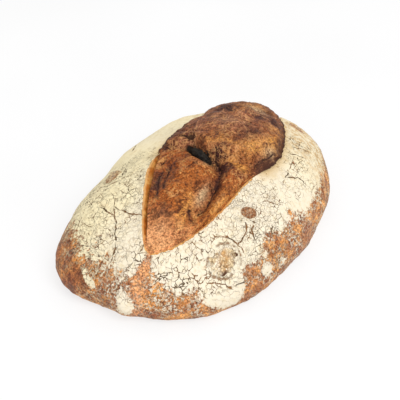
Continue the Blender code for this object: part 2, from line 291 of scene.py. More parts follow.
def along_slash(x, y):
    """Place on the plan as (distance from the tip, distance to the left of the slash line)."""
    c = math.cos(SLASH_TURN)
    s = math.sin(SLASH_TURN)
    return (x - TIP_X) * c + (y - TIP_Y) * s, (y - TIP_Y) * c - (x - TIP_X) * s


def swing(a, table):
    """How far an edge of the slash swings out."""
    return sum(width * bump(a - place, reach) for width, place, reach in table) * smooth(a / SWING_START)


def slash_half(a, b):
    """Width of the opened slash from its line to its edge, on the side where b lies."""
    share = np.clip(a / SLASH_LENGTH, 1e-6, 1.0 - 1e-6)
    half = SLASH_HALF * np.sqrt(np.sin(math.pi * share ** SLASH_SKEW))
    right = EAR_SWELL * bump(a - EAR_AT, EAR_REACH) + swing(a, RIGHT_SWINGS)
    return half + np.where(b < 0.0, right, swing(a, LEFT_SWINGS))


def slash_radius(turn):
    """Distance from the axis to the edge of the slash, along each ray."""
    low = np.zeros_like(turn)
    high = np.full_like(turn, 0.145)
    for _ in range(44):
        mid = 0.5 * (low + high)
        a, b = along_slash(mid * np.cos(turn), mid * np.sin(turn))
        inside = (np.abs(b) < slash_half(a, b)) & (a > 0.0) & (a < SLASH_LENGTH)
        low = np.where(inside, mid, low)
        high = np.where(inside, high, mid)
    return 0.5 * (low + high)


def back_share(a, b):
    """0 where the crumb lies under the skin, 1 where the burnt lobe stands over it."""
    start = np.where(b > 0.0, EDGE_START_LEFT, EDGE_START_RIGHT)
    return ramp(a, start, EDGE_START_SPAN)


def far_share(a):
    """The lobe sinks towards its far end."""
    return FAR_SHARE + (1.0 - FAR_SHARE) * fall(a, SLASH_LENGTH, FAR_FALL)


def between(b, right, left):
    """A value that differs between the right and left edges of the slash."""
    return right + (left - right) * smooth(0.5 + b / (2.0 * EDGE_SIDES))


def burnt_edge(a, b):
    """Height of the lobe's edge over the dome: the left edge rises towards its far end."""
    left = EDGE_LEFT + FAR_RISE * ramp(a, FAR_RISE_AT, FAR_RISE_SPAN)
    return between(b, EDGE_RIGHT, left) * far_share(a)


def folds(a, b, table):
    """Sum of the soft folds in a table."""
    height = 0.0
    for rise, (at_a, at_b), lean, length, width in table:
        height = height + rise * bump(a - at_a, length) * bump(b - at_b - lean * (a - at_a), width)
    return height


def crevice_share(a, b):
    """1 in the dark crevice in front of the lobe, 0 away from it."""
    c = math.cos(CREVICE_TURN)
    s = math.sin(CREVICE_TURN)
    u = (a - CREVICE_AT[0]) * c + (b - CREVICE_AT[1]) * s
    v = (b - CREVICE_AT[1]) * c - (a - CREVICE_AT[0]) * s
    return bump(u, CREVICE_SIZE[0]) * bump(v, CREVICE_SIZE[1])


def slash_relief(a, b):
    """Height of the opened crumb crust over the dome."""
    half = slash_half(a, b)
    across = np.clip(np.abs(b) / half, 0.0, 1.0)
    arch = np.sqrt(np.clip(1.0 - across ** 2, 0.0, 1.0))
    off_valley = b - VALLEY_AT[1] - VALLEY_BEND * (a - VALLEY_AT[0]) ** 2
    span = ramp(a, *VALLEY_BEGINS) * fall(a, *VALLEY_ENDS)
    front = SWELL * arch * smooth(a / SWELL_BEGINS) + folds(a, b, FRONT_FOLDS)
    front = front - VALLEY * bump(off_valley, VALLEY_WIDTH) * span
    front = front + SHOULDER * bump(off_valley + SHOULDER_OUT, SHOULDER_WIDTH) * span
    edge = burnt_edge(a, b)
    back = edge + (LOBE * far_share(a) - edge) * arch ** LOBE_ROUND + folds(a, b, BACK_FOLDS)
    fold = FOLD_AT + FOLD_SWAY * np.cos(2.0 * math.pi * (b - FOLD_CREST) / FOLD_WAVE)
    height = front + (back - front) * smooth((a - fold) / FOLD_WIDTH + 0.5)
    return height - CREVICE * crevice_share(a, b)


def nut_frame(nut):
    """Middle, long axis, cross axis and up axis of a walnut piece."""
    x, y = nut["at"]
    turn = np.array(math.atan2(y, x))
    lift = lift_of(turn, np.array(math.hypot(x, y)))
    normal = outward(turn, lift)
    place = body(turn, lift) + normal * (nut["rise"] - nut["half"][2])
    long = np.array([math.cos(nut["turn"]), math.sin(nut["turn"]), 0.0])
    long = long - normal * float(long @ normal)
    long = long / np.linalg.norm(long)
    return place, long, np.cross(normal, long), normal


def skin_relief(points):
    """Unevenness of the floured skin, along its normal."""
    x = points[..., 0]
    y = points[..., 1]
    z = points[..., 2]
    height = 0.0011 * np.sin(34.0 * x + 51.0 * y + 0.6) * np.sin(47.0 * y - 23.0 * z + 1.9)
    height = height + 0.0007 * np.sin(88.0 * x - 41.0 * y + 61.0 * z + 2.2)
    # The skin is pushed up round the walnut pieces
    for name, push, width in PUSHED_UP:
        nut = NUTS[name]
        place, _, _, normal = nut_frame(nut)
        centre = place + normal * (nut["half"][2] - nut["rise"])
        height = height + push * spot(points, centre, width)
    a, b = along_slash(x, y)
    height = height + folds(a, b, SKIN_FOLDS)
    # The slash runs on below its tip as a closed seam
    seam = smooth(-a / SEAM_BEGINS) * smooth((a + SEAM_LENGTH) / SEAM_FADES)
    seam = seam * ramp(z, SEAM_LOW, SEAM_FADES)
    off_seam = np.abs(b - SEAM_LEAN * a)
    height = height - SEAM_DEPTH * bump(off_seam, SEAM_WIDTH) * seam
    height = height + SEAM_LIP * bump(off_seam - SEAM_LIP_OUT, SEAM_WIDTH) * seam
    height = height + HEEL_RISE * spot(points, HEEL_AT, HEEL_SIZE)
    height = height - NOTCH_DEPTH * spot(points, NOTCH_AT, NOTCH_SIZE)
    return height * ramp(z, 0.001, 0.010)


# Fine relief and painted fields

MILLIMETRES = 1000.0
CENTIMETRE = 0.010
# Height up to which the skin is bare, how far that line wanders, and where it differs:
# rise, middle and spread in degrees round the loaf
BELT = 0.0385
BELT_WANDER = 0.0040
BELT_SWELLS = (
    (0.0080, 160.0, 13.0), (0.0050, 178.0, 8.0), (-0.0080, -150.0, 12.0), (-0.0240, -137.0, 6.0),
    (-0.0060, 60.0, 40.0), (0.0050, -112.0, 6.0), (0.0040, -88.0, 12.0), (0.0020, -44.0, 10.0),
    (-0.0035, -27.0, 9.0),
)
# Bare patches up in the flour, and (below zero) flour patches down on the bare crust:
# strength, place and size in millimetres
PATCHES = (
    (1.8, (-70, -91, 31), 11), (1.2, (-98, -64, 47), 6), (0.8, (-90, -78, 39.5), 4),
    (1.3, (-32, -91.5, 42), 10), (0.7, (-6, -92.5, 42), 9), (2.1, (120, -24, 54), 11),
    (2.0, (99, -42, 59), 6), (2.9, (72, -50, 64), 3), (3.1, (53, -60, 62.5), 3.4),
    # The bare patch at (14.5, -54, 71), under the lobe's burnt rim, stands partly for painted shade
    (2.7, (49, -66, 60), 2.6), (3.4, (14.5, -54, 71), 3.4), (3.2, (33, -55.5, 69), 2.8),
    (1.8, (2, -85.5, 49.8), 2.6), (-1.5, (-144, 26, 35), 4.2), (-1.7, (-147.5, 19, 31), 4.2),
    (-1.6, (-149, 13, 27), 4.2), (-3.8, (-145.5, -20, 18.5), 12.5), (-0.9, (-149, 15, 20), 13),
    (-0.6, (-143.5, -4, 32), 8), (-2.6, (-87, -86, 26), 9), (-2.4, (-94, -83, 22), 10),
    (-1.8, (-105, -76, 26), 8), (-2.0, (-94, -78, 34), 6), (-2.6, (-51.5, -96.5, 26), 8.5),
    (-2.0, (-31, -100, 23), 8), (-1.6, (-10, -100, 22), 9),
)
# Spots of fine crackle on the smooth right side, and orange spots on the bare crust: strength,
# place and size in millimetres
CRACKLE_SPOTS = (
    (0.5, (-3, -64, 66), 18), (0.5, (55, -55, 64), 15), (0.5, (85, -44, 62), 13), (0.5, (30, -78, 56), 10),
)
ORANGE_SPOTS = (
    (1.0, (-137, 35, 40), 7), (1.0, (-144, 9, 34), 7.5), (1.0, (-70, -91, 31), 10),
    (1.0, (2, -85.5, 49.8), 4), (1.0, (-124, -57, 23), 8),
)
# The bare, closed seam below the tip: lean, half width, length, strength
SEAM_PAINT = (0.04, 0.0056, 0.036, 2.6)
# The crackle is dense before a line across the loaf, thin on the upper left side and low down:
# each is a place and the length over which it changes
CRACKLE_FRONT = (0.012, 0.060)
CRACKLE_UPPER = (0.040, 0.030)
CRACKLE_BEYOND = (-0.070, 0.040)
CRACKLE_LOW = (0.020, 0.014)
# Where the flour is torn into long plates: direction and spread in degrees round the loaf
TORN = (-156.0, 22.0)
# Long cracks in the flour, as places on the plan in millimetres. Cracks that run
# close to each other are in different sets.
CRACKS = (
    (
        ((-88, 34), (-103, 22), (-115, 13), (-124, 6), (-132, 5)), ((-109, 56), (-119, 52)),
        ((-69, 63), (-68, 54), (-63, 49)), ((-5, 74), (8, 79)), ((36, -65), (23, -68)),
        ((-74, -58), (-68, -66), (-66, -75), (-66, -80)), ((-41, -75), (-48, -79), (-49, -83)),
        ((56, -58), (44, -62)), ((75, -48), (85, -53), (91, -57)), ((-13, -70), (-3, -77)),
        ((-104, -70), (-96, -78), (-90, -84)),
    ),
    (
        ((-91, 30), (-93, 20), (-92, 13), (-91, 2)), ((-95, 41), (-99, 29)), ((-112, 48), (-114, 39)),
        ((-44, 53), (-54, 50)), ((-64, -75), (-51, -74), (-42, -70)), ((32, -67), (42, -71), (45, -76)),
        ((51, -63), (48, -67)), ((62, -53), (71, -60)), ((-26, -85), (-30, -88)), ((-85, -86), (-74, -90)),
    ),
)
# Creases of the opened crumb: depth and half width, then places in millimetres as (along,
# left of the slash line)
CREASES = (
    (
        (0.0016, 0.0017, (112, -6), (101, -18), (86, -22), (70, -24), (59, -25), (52, -23), (46, -22)),
        (0.0010, 0.0016, (85, 22), (80, 21), (66, 18), (55, 14)),
        (0.0022, 0.0014, (136, 44), (133, 32), (131, 20)),
        (0.0018, 0.0014, (111, 42), (113, 30), (116, 23)),
        (0.0010, 0.0014, (120, -40), (134, -44), (146, -46)),
        (0.0008, 0.0016, (186, 22), (183, 14), (178, 8)),
    ),
    (
        (0.0008, 0.0016, (73, 25), (59, 22), (48, 17)),
        (0.0010, 0.0015, (44, -14), (39, -17), (36, -22)),
        (0.0022, 0.0014, (124, 43), (124, 30), (122, 18)),
        (0.0030, 0.0018, (91, 33), (88, 32)),
        (0.0014, 0.0014, (146, 44), (143, 35), (144, 26)),
        (0.0008, 0.0015, (150, -47), (158, -46), (165, -42)),
    ),
)
# Patches on the opened crumb, by field: strength, and in millimetres the middle as (along,
# left of the slash line), half length and half width
CRUMB_PATCHES = {
    # Purple-dark crust, partly painted shade: the valley, the left folds and the small hole at (89.5,
    # 32.5)
    "dark": (
        (1.4, (109, -12), 8, 7), (1.0, (101, -19), 7, 6), (0.7, (86, -22), 10, 4), (0.7, (105, -26), 5, 9),
        (0.4, (100, -34), 10, 5), (1.5, (182, -16), 6, 5), (1.4, (189, -26), 6, 5), (0.7, (134, -4), 8, 5),
        (0.8, (146, -20), 9, 5), (0.6, (154, -25), 6, 4), (0.4, (126, 37), 18, 9), (1.3, (183, 16), 9, 9),
        (0.5, (94, 14), 7, 8), (0.6, (104, -5), 4, 6), (0.4, (112, 36), 6, 8), (0.6, (34, 4), 6, 5),
        (2.0, (89.5, 32.5), 2, 2.4), (0.4, (62, 23), 18, 4),
    ),
    # Golden crust, partly painted highlights on the lobe's ridges and the mound's top
    "gold_and_highlight": (
        (0.9, (152, -40), 16, 7), (0.8, (134, -29), 12, 8), (0.5, (179, -35), 8, 6),
        (1.0, (113, -26), 4, 11), (0.4, (119, 2), 4, 10), (0.5, (205, -4), 7, 14), (0.6, (48, -11), 12, 6),
        (0.5, (36, -11), 8, 4), (0.6, (55, -34), 26, 5), (0.6, (126, -10), 6, 12), (0.4, (192, 4), 7, 9),
    ),
    "orange": (
        (0.7, (131, -4), 12, 16), (0.5, (176, 2), 10, 12), (1.0, (64, 1), 26, 14), (0.7, (45, -28), 30, 8),
        (0.6, (85, -6), 10, 9), (0.5, (165, -34), 16, 12), (0.5, (120, -30), 10, 10),
    ),
    "dull": (
        (0.9, (141, -43), 7, 5), (0.8, (198, -8), 6, 10), (0.9, (64, -17), 13, 4), (0.5, (19, -1), 6, 4),
        (0.6, (100, -3), 6, 5), (0.2, (160, 5), 14, 10),
    ),
}
DUST_END = 0.042
# The strip reaches its full width this far from the tip, and its lip stands lower on the right
STRIP_GROWS = 0.016
STRIP_TIP = 0.35
# On the left it narrows again towards its far end: from where, over what length, by what share
STRIP_FALLS = 0.056
STRIP_FALL = 0.040
STRIP_TAPER = 0.62
LIP_RIGHT = 0.35
# The lip lies outside the first of these shares of the way in, the painted strip outside the second
LIP_INSIDE = -0.3
STRIP_OUTSIDE = -1.04
# The lip and the groove grow from the tip on: their share there
LIP_TIP = 0.3
GROOVE_TIP = 0.35
# Charred crumb with painted crevice shade round the crown's walnut piece: line and half width
CHAR_AND_SHADE_LINE = ((0.116, 0.020, 0.0), (0.109, 0.006, 0.0), (0.103, -0.005, 0.0))
CHAR_AND_SHADE_WIDTH = 0.0050
# A groove in the skin round each walnut piece: depth, how far out and how wide, as shares of
# the piece, and the height within which the skin is its own
SEAT_GROOVE = 0.0009
SEAT_OUT = 0.10
SEAT_WIDTH = 0.14
SEAT_REACH = 0.02
# How ragged the burnt rim is: up and down, and in and out, and the lip in front of it
RIM_RAGGED = 0.0015
RIM_JAGGED = 0.0013
LIP_RAGGED = 0.00030
# Grain of the floured skin, of bare skin and of the crumb: height, size of its humps,
# octaves and shift of the noise
SKIN_GRAIN = ((0.00045, 0.014, 2, 0.0), (0.00018, 0.0045, 2, 5.0))
BARE_GRAIN = ((0.0006, 0.0070, 3, 9.0),)
CRUMB_GRAIN = ((0.0010, 0.013, 2, 2.0), (0.0014, 0.027, 2, 4.0))
# Wrinkles of the crumb, which are longer across the loaf, and its pits: height and size
WRINKLE = (0.0008, 0.0085)
WRINKLE_SQUASH = np.array([1.0, 0.55, 1.0])
PIT = (0.0007, 0.0050)
# The crumb's relief is lower near the tip: its share there, and how far from it that holds
CALM_TIP = 0.45
CALM_LENGTH = 0.05
# The skin gets painted shade under the burnt rim, and counts as far from the torn edge from here on
RIM_SHADE = 0.009
RIM_FAR = 0.02
FAR_AWAY = 1.0
LINE_FIELDS = ("mark0", "near0", "mark1", "near1")
UPWARDS = np.array([0.0, 0.0, 1.0])


def degrees_off(points, middle):
    """Degrees round the loaf from a direction, from -180 to 180."""
    turn = np.arctan2(points[..., 1], points[..., 0])
    return (np.degrees(turn) - middle + 180.0) % 360.0 - 180.0


def spots(points, table):
    """Each spot of a table in millimetres, times its strength."""
    return [strength * spot(points, np.array(place) / MILLIMETRES, size / MILLIMETRES)
            for strength, place, size in table]


def belt_height(points):
    """Height of the line where the flour ends."""
    swells = [rise * bump(degrees_off(points, middle), spread) for rise, middle, spread in BELT_SWELLS]
    return sum(swells, BELT)


def bare_field(points):
    """Centimetres below the flour's end: above 0 where the skin is bare, below 0 where it is floured."""
    end = belt_height(points) + BELT_WANDER * grain(points, 0.030, 3, 7.0)
    bare = sum(spots(points, PATCHES), (end - points[..., 2]) / CENTIMETRE)
    return np.clip(bare + SEAM_PAINT[3] * seam_share(points), -3.0, 3.0)


def seam_share(points):
    """1 on the bare, closed seam below the slash's tip."""
    lean, half, length, _ = SEAM_PAINT
    a, b = along_slash(points[..., 0], points[..., 1])
    wide = half * (0.7 + 0.6 * smooth(-a / length))
    return bump(b - lean * a, wide) * fall(a, 0.005, 0.008) * smooth((a + length) / SEAM_FADES)


def orange_field(points):
    """1 on the orange spots of the bare crust."""
    return np.max(spots(points, ORANGE_SPOTS), axis=0)


def above_foot(points):
    """0 low on the skin, 1 where the crackle has its full strength."""
    return ramp(points[..., 2], *CRACKLE_LOW)


def crackle_field(points):
    """How densely the floured skin is cracked: most in front, little on the far and upper sides."""
    x = points[..., 0]
    y = points[..., 1]
    front = fall(x, *CRACKLE_FRONT)
    upper_left = ramp(y, *CRACKLE_UPPER) * ramp(x, *CRACKLE_BEYOND)
    patchy = 0.5 + 0.5 * grain(points, 0.040, 2, 3.0)
    dense = front * (1.0 - 0.85 * upper_left) + 0.60 * (patchy - 0.5) + 0.18
    dense = sum(spots(points, CRACKLE_SPOTS), dense)
    return np.clip(dense, 0.0, 1.0) * (0.25 + 0.75 * above_foot(points))


def torn_field(points):
    """1 below the slash's tip, where the flour is torn down the slope into long plates."""
    middle, spread = TORN
    return bump(degrees_off(points, middle), spread) * above_foot(points)


def nut_ring(points, name):
    """1 along the outline where a walnut piece comes out of the skin."""
    nut = NUTS[name]
    place, long, cross, up = nut_frame(nut)
    off = points - place
    depth = (nut["half"][2] - nut["rise"]) / nut["half"][2]
    rim = math.sqrt(1.0 - depth ** 2)
    around = np.hypot(off @ long / nut["half"][0], off @ cross / nut["half"][1])
    return bump(around - rim - SEAT_OUT, SEAT_WIDTH) * (np.abs(off @ up) < SEAT_REACH)


def distances(points, lines, facing):
    """Distance to the nearest of some lines: with a sign for its side, and plain."""
    signed = np.full(points.shape[:-1], FAR_AWAY)
    plain = np.full(points.shape[:-1], FAR_AWAY)
    for line in lines:
        for start, end in zip(line[:-1], line[1:]):
            way = end - start
            along = np.clip((points - start) @ way / (way @ way), 0.0, 1.0)
            off = points - start - along[..., None] * way
            away = np.linalg.norm(off, axis=-1)
            side = np.sum(np.cross(way, off) * facing, axis=-1)
            closer = away < plain
            signed = np.where(closer, away * np.sign(side), signed)
            plain = np.where(closer, away, plain)
    return signed, plain


def line_fields(points, sets, facing):
    """The fields from which a material draws the lines of each set."""
    fields = {}
    for index, lines in enumerate(sets):
        signed, plain = distances(points, lines, facing)
        fields["mark%d" % index] = signed
        fields["near%d" % index] = plain
    return fields


def no_lines(turn):
    """The same fields for a ring without lines."""
    return {name: np.full_like(turn, FAR_AWAY) for name in LINE_FIELDS}


def on_dome(places):
    """Points of the plain loaf over places on the plan given in millimetres."""
    x, y = np.array(places).T / MILLIMETRES
    turn = np.arctan2(y, x)
    return body(turn, lift_of(turn, np.hypot(x, y)))


def crack_fields(points):
    """Fields of the long cracks in the flour."""
    facing = points / np.linalg.norm(points, axis=-1, keepdims=True)
    return line_fields(points, [[on_dome(line) for line in lines] for lines in CRACKS], facing)


def in_slash(a, b):
    """Places in the slash's own plane, as points."""
    return np.stack([a, b, np.zeros_like(a)], axis=-1)


def crease_fields(a, b):
    """Fields of the creases in the crumb, with their depth and the painted shade along them."""
    points = in_slash(a, b)
    sets = [[np.array([(u, v, 0.0) for u, v in crease[2:]]) / MILLIMETRES for crease in creases]
            for creases in CREASES]
    depth = np.zeros_like(a)
    dark = np.zeros_like(a)
    for creases, lines in zip(CREASES, sets):
        for (deep, width, *_), line in zip(creases, lines):
            _, away = distances(points, [line], UPWARDS)
            depth = np.maximum(depth, deep * bump(away, width))
            # Painted shade in a soft band along each crease
            dark = np.maximum(dark, 0.75 * bump(away, 1.5 * width))
    return line_fields(points, sets, UPWARDS), depth, dark


def grains(points, table):
    """Height of the grain in a table."""
    return sum(height * grain(points, size, octaves, shift) for height, size, octaves, shift in table)


def skin_fine(points, bare):
    """Fine relief of the skin."""
    height = grains(points, SKIN_GRAIN) + grains(points, BARE_GRAIN) * smooth(bare + 0.5)
    for name in NUTS:
        height = height - SEAT_GROOVE * nut_ring(points, name)
    return height * ramp(points[..., 2], 0.0005, 0.004)


def crumb_fine(points, a):
    """Fine relief of the opened crumb crust: soft lumps, thin wrinkles and pits."""
    ridges = 1.0 - np.abs(grain(points * WRINKLE_SQUASH, WRINKLE[1], 3, 11.0)) * 2.0
    pits = ramp(grain(points, PIT[1], 2, 17.0), 0.28, 0.2)
    height = grains(points, CRUMB_GRAIN) + WRINKLE[0] * ridges - PIT[0] * pits
    return height * (CALM_TIP + (1.0 - CALM_TIP) * smooth(a / CALM_LENGTH))


def crumb_fields(a, b):
    """Patches of the opened crumb crust, its far lobe and the dusty end near the tip."""
    fields = {}
    for field, patches in CRUMB_PATCHES.items():
        fields[field] = np.zeros_like(a)
        for strength, (at_a, at_b), length, width in patches:
            along = bump(a - at_a / MILLIMETRES, length / MILLIMETRES)
            across = bump(b - at_b / MILLIMETRES, width / MILLIMETRES)
            fields[field] = fields[field] + strength * along * across
    fields["lobe"] = smooth((a - FOLD_AT + 0.012) / 0.020)
    fields["dust"] = smooth((DUST_END - a) / DUST_END)
    return fields


# Building the loaf's mesh


def strip_width(a, b):
    """Width of the torn strip, which narrows towards its ends."""
    left = STRIP_LEFT * (1.0 - STRIP_TAPER * ramp(a, STRIP_FALLS, STRIP_FALL))
    return between(b, STRIP_RIGHT, left) * (STRIP_TIP + (1.0 - STRIP_TIP) * smooth(a / STRIP_GROWS))


def hub_point():
    """The place on the plan from which the crumb's rings grow."""
    c = math.cos(SLASH_TURN)
    s = math.sin(SLASH_TURN)
    return TIP_X + HUB[0] * c - HUB[1] * s, TIP_Y + HUB[0] * s + HUB[1] * c


def crumb_rings(turn, edge):
    """Rings of the opened crumb crust, from the hub outwards, with their fields."""
    a, b = along_slash(edge * np.cos(turn), edge * np.sin(turn))
    inner = edge - strip_width(a, b) - STRIP_GAP
    hub_x, hub_y = hub_point()
    rings = []
    shares = (np.arange(CRUMB_RINGS) + 1.0) / CRUMB_RINGS
    for share in shares:
        x = hub_x + (inner * np.cos(turn) - hub_x) * share
        y = hub_y + (inner * np.sin(turn) - hub_y) * share
        rings.append(crumb_ring(x, y))
    return rings


def crumb_ring(x, y):
    """One ring of crumb points over places on the plan, with its fields."""
    turn = np.arctan2(y, x)
    lift = lift_of(turn, np.hypot(x, y))
    base = body(turn, lift)
    a, b = along_slash(x, y)
    lines, depth, dark = crease_fields(a, b)
    height = slash_relief(a, b) + crumb_fine(base, a) - depth
    fields = crumb_fields(a, b)
    fields.update(lines)
    # The creases' painted shade adds to the dark patches
    fields["dark"] = fields["dark"] + dark
    # Charred crumb and painted shade of the crevice, along a line round the crown's walnut piece
    _, away = distances(in_slash(a, b), [np.array(CHAR_AND_SHADE_LINE)], UPWARDS)
    fields["char_and_shade"] = bump(away, CHAR_AND_SHADE_WIDTH)
    fields["rimward"] = edge_share(a, b)
    return base + outward(turn, lift) * height[..., None], fields


def edge_share(a, b):
    """Rises from 0 to 1 over the last bit of crumb before the slash's edge."""
    across = np.clip(np.abs(b) / slash_half(a, b), 0.0, 1.0)
    return ramp(across, 0.80, 0.18)


def edge_rings(turn, edge):
    """Rings of the torn edge: groove, strip and lip in front, thin burnt overhang behind."""
    flat = body(turn, lift_of(turn, edge))
    a, b = along_slash(edge * np.cos(turn), edge * np.sin(turn))
    behind = back_share(a, b)
    near = smooth(a / STRIP_END)
    strip = strip_width(a, b)
    raised = LIP * between(b, LIP_RIGHT, 1.0) * (LIP_TIP + (1.0 - LIP_TIP) * near)
    low = -between(b, GROOVE_RIGHT, GROOVE_LEFT) * (GROOVE_TIP + (1.0 - GROOVE_TIP) * near)
    ragged = grain(flat, 0.0070, 3, 21.0)
    jagged = grain(flat, 0.0055, 3, 31.0)
    burnt = burnt_edge(a, b) + RIM_RAGGED * ragged * behind
    skin = skin_relief(flat)
    rings = []
    for step, (front, back) in enumerate(zip(FRONT_EDGE, BACK_EDGE)):
        way_in, way_out, deep, lip = front
        out_back, share, drop = back
        on_lip = float(way_in > LIP_INSIDE)
        out_front = way_in * strip + way_out
        high_front = low * deep + raised * lip + skin * on_lip + LIP_RAGGED * ragged * lip
        out_behind = out_back + RIM_JAGGED * jagged * (share == 1.0)
        high_behind = skin + (burnt - skin) * share - drop
        out = out_front + (out_behind - out_front) * behind
        high = high_front + (high_behind - high_front) * behind
        lift = lift_of(turn, edge + out)
        base = body(turn, lift)
        fields = torn_fields(a, b, step, way_in, behind)
        if step >= SKIN_STEP:
            fields.update(skin_fields(base, bare_field(base), np.full_like(turn, way_out), behind))
        else:
            fields.update(no_lines(turn))
        rings.append((base + outward(turn, lift) * high[:, None], fields))
    return rings


def torn_fields(a, b, step, way_in, behind):
    """Fields of one ring of the torn edge."""
    fields = crumb_fields(a, b)
    fields["strip"] = float(way_in > STRIP_OUTSIDE) * (1.0 - behind) * ramp(a, 0.003, 0.008)
    fields["left"] = between(b, 0.0, 1.0)
    fields["across"] = np.full_like(a, -way_in)
    fields["burnt"] = behind * smooth((step + 1.0) / 3.0)
    fields["rimward"] = np.ones_like(a)
    fields["dust"] = fields["dust"] * (1.0 - behind)
    return fields


def skin_rings(turn, edge):
    """Rings of the floured skin from the slash to the foot, then across the underside."""
    a, b = along_slash(edge * np.cos(turn), edge * np.sin(turn))
    behind = back_share(a, b)
    start = lift_of(turn, edge + LIP_WIDTH + (SKIN_START - LIP_WIDTH) * behind)
    rim = body(turn, lift_of(turn, edge))
    lifts = [start * (1.0 - (k + 1.0) / SKIN_RINGS) for k in range(SKIN_RINGS)]
    lifts += [np.full_like(turn, -0.5 * math.pi * (k + 1.0) / FOOT_RINGS) for k in range(FOOT_RINGS)]
    rings = []
    for lift in lifts:
        base = body(turn, lift)
        bare = bare_field(base)
        far = np.linalg.norm(base - rim, axis=-1)
        lip = LIP * between(b, LIP_RIGHT, 1.0) * bump(far, LIP_REACH) * (1.0 - behind)
        height = skin_relief(base) + lip + skin_fine(base, bare)
        rings.append((base + outward(turn, lift) * height[:, None], skin_fields(base, bare, far, behind)))
    foot = rings[-1][0]
    for k in range(UNDER_RINGS):
        share = 1.0 - (k + 1.0) / (UNDER_RINGS + 1.0)
        fields = {"bare": np.full_like(turn, UNDER_BARE), **no_lines(turn)}
        rings.append((foot * np.array([share, share, 0.0]), fields))
    return rings


def skin_fields(points, bare, far, behind):
    """Fields of the floured skin."""
    ring = np.zeros(points.shape[:-1])
    for name in NUTS:
        ring = np.maximum(ring, nut_ring(points, name))
    fields = {"bare": bare, "crackle": crackle_field(points), "torn": torn_field(points), "ring": ring}
    # Painted shade on the skin just under the lobe's burnt rim
    fields["shade"] = bump(far, RIM_SHADE) * behind
    fields["far"] = np.clip(far, 0.0, RIM_FAR) * (1.0 - behind) + RIM_FAR * behind
    fields["orange"] = orange_field(points)
    fields["seam"] = seam_share(points)
    fields.update(crack_fields(points))
    return fields


FIELDS = (
    "bare", "crackle", "torn", "ring", "shade", "far", "dark", "gold_and_highlight", "orange", "dull", "dust", "char_and_shade",
    "lobe", "seam", "strip", "left", "across", "burnt", "rimward",
) + LINE_FIELDS


def make_mesh(name, rows, fields, caps, materials, skin_from=0):
    """A closed mesh of rings with a fan at each end; from ring skin_from on it has the last material."""
    count = rows.shape[1]
    points = rows.reshape(-1, 3)
    grid = np.arange(points.shape[0]).reshape(rows.shape[:2])
    after = np.roll(grid, -1, axis=1)
    quads = np.stack([grid[:-1], grid[1:], after[1:], after[:-1]], axis=-1).reshape(-1, 4)
    first = np.full(count, len(points))
    fans = np.concatenate([np.stack([first, grid[0], after[0]], axis=-1),
                           np.stack([first + 1, after[-1], grid[-1]], axis=-1)])
    data = bpy.data.meshes.new(name)
    data.from_pydata(np.vstack([points, caps]).tolist(), [], quads.tolist() + fans.tolist())
    ring_of = np.repeat(np.arange(rows.shape[0] - 1), count)
    on_skin = np.concatenate([ring_of >= skin_from, np.zeros(count, bool), np.ones(count, bool)])
    data.polygons.foreach_set("material_index", (on_skin * (len(materials) - 1)).astype(np.int32))
    data.polygons.foreach_set("use_smooth", np.ones(len(on_skin), bool))
    for material in materials:
        data.materials.append(material)
    for field, values in fields.items():
        column = np.concatenate([values.reshape(-1), [values[0].mean(), values[-1].mean()]])
        data.attributes.new(field, "FLOAT", "POINT").data.foreach_set("value", column.astype(np.float32))
    data.update()
    made = bpy.data.objects.new(name, data)
    bpy.context.scene.collection.objects.link(made)
    return made


def make_loaf(materials):
    """The loaf: bloom, torn edges, floured skin, foot and underside."""
    turn = math.atan2(TIP_Y, TIP_X) + 2.0 * math.pi * np.arange(RAYS) / RAYS
    edge = slash_radius(turn)
    rings = crumb_rings(turn, edge) + edge_rings(turn, edge) + skin_rings(turn, edge)
    rows = np.stack([points for points, _ in rings])
    none = np.zeros(RAYS)
    fields = {field: np.stack([ring.get(field, none) for _, ring in rings]) for field in FIELDS}
    hub_x, hub_y = hub_point()
    crown, _ = crumb_ring(np.array([hub_x]), np.array([hub_y]))
    caps = np.vstack([crown, [[0.0, 0.0, 0.0]]])
    return make_mesh("loaf_crust", rows, fields, caps, materials, CRUMB_RINGS + SKIN_STEP)


# Walnut pieces

NUT_ROWS = 72
NUT_COLUMNS = 96


def make_nut(name, material):
    """A walnut piece with lobes, a groove along it and fine wrinkles."""
    nut = NUTS[name]
    axes = nut_frame(nut)
    polar = math.pi * (np.arange(1, NUT_ROWS) / NUT_ROWS)[:, None]
    turn = (2.0 * math.pi * np.arange(NUT_COLUMNS) / NUT_COLUMNS)[None, :]
    out = np.sin(polar)
    way = np.stack(np.broadcast_arrays(np.cos(polar), out * np.cos(turn), out * np.sin(turn)), axis=-1)
    ends = np.array([[1.0, 0.0, 0.0], [-1.0, 0.0, 0.0]])
    rows, furrows = nut_points(nut, way, axes)
    caps, _ = nut_points(nut, ends, axes)
    fields = {
        "furrow": furrows,
        "stain_and_shade": direction_spots(way, STAINS_AND_SHADE.get(name, ())),
        "warm": direction_spots(way, WARM_PATCHES.get(name, ())),
    }
    return make_mesh(name + "_kernel", rows, fields, caps, [material])


def direction_spots(way, places):
    """Spots on a walnut piece: each is a direction from its middle and a size."""
    share = np.zeros(way.shape[:-1])
    for x, y, size in places:
        up = math.sqrt(max(0.0, 1.0 - x * x - y * y))
        share = np.maximum(share, spot(way, (x, y, up), size))
    return share


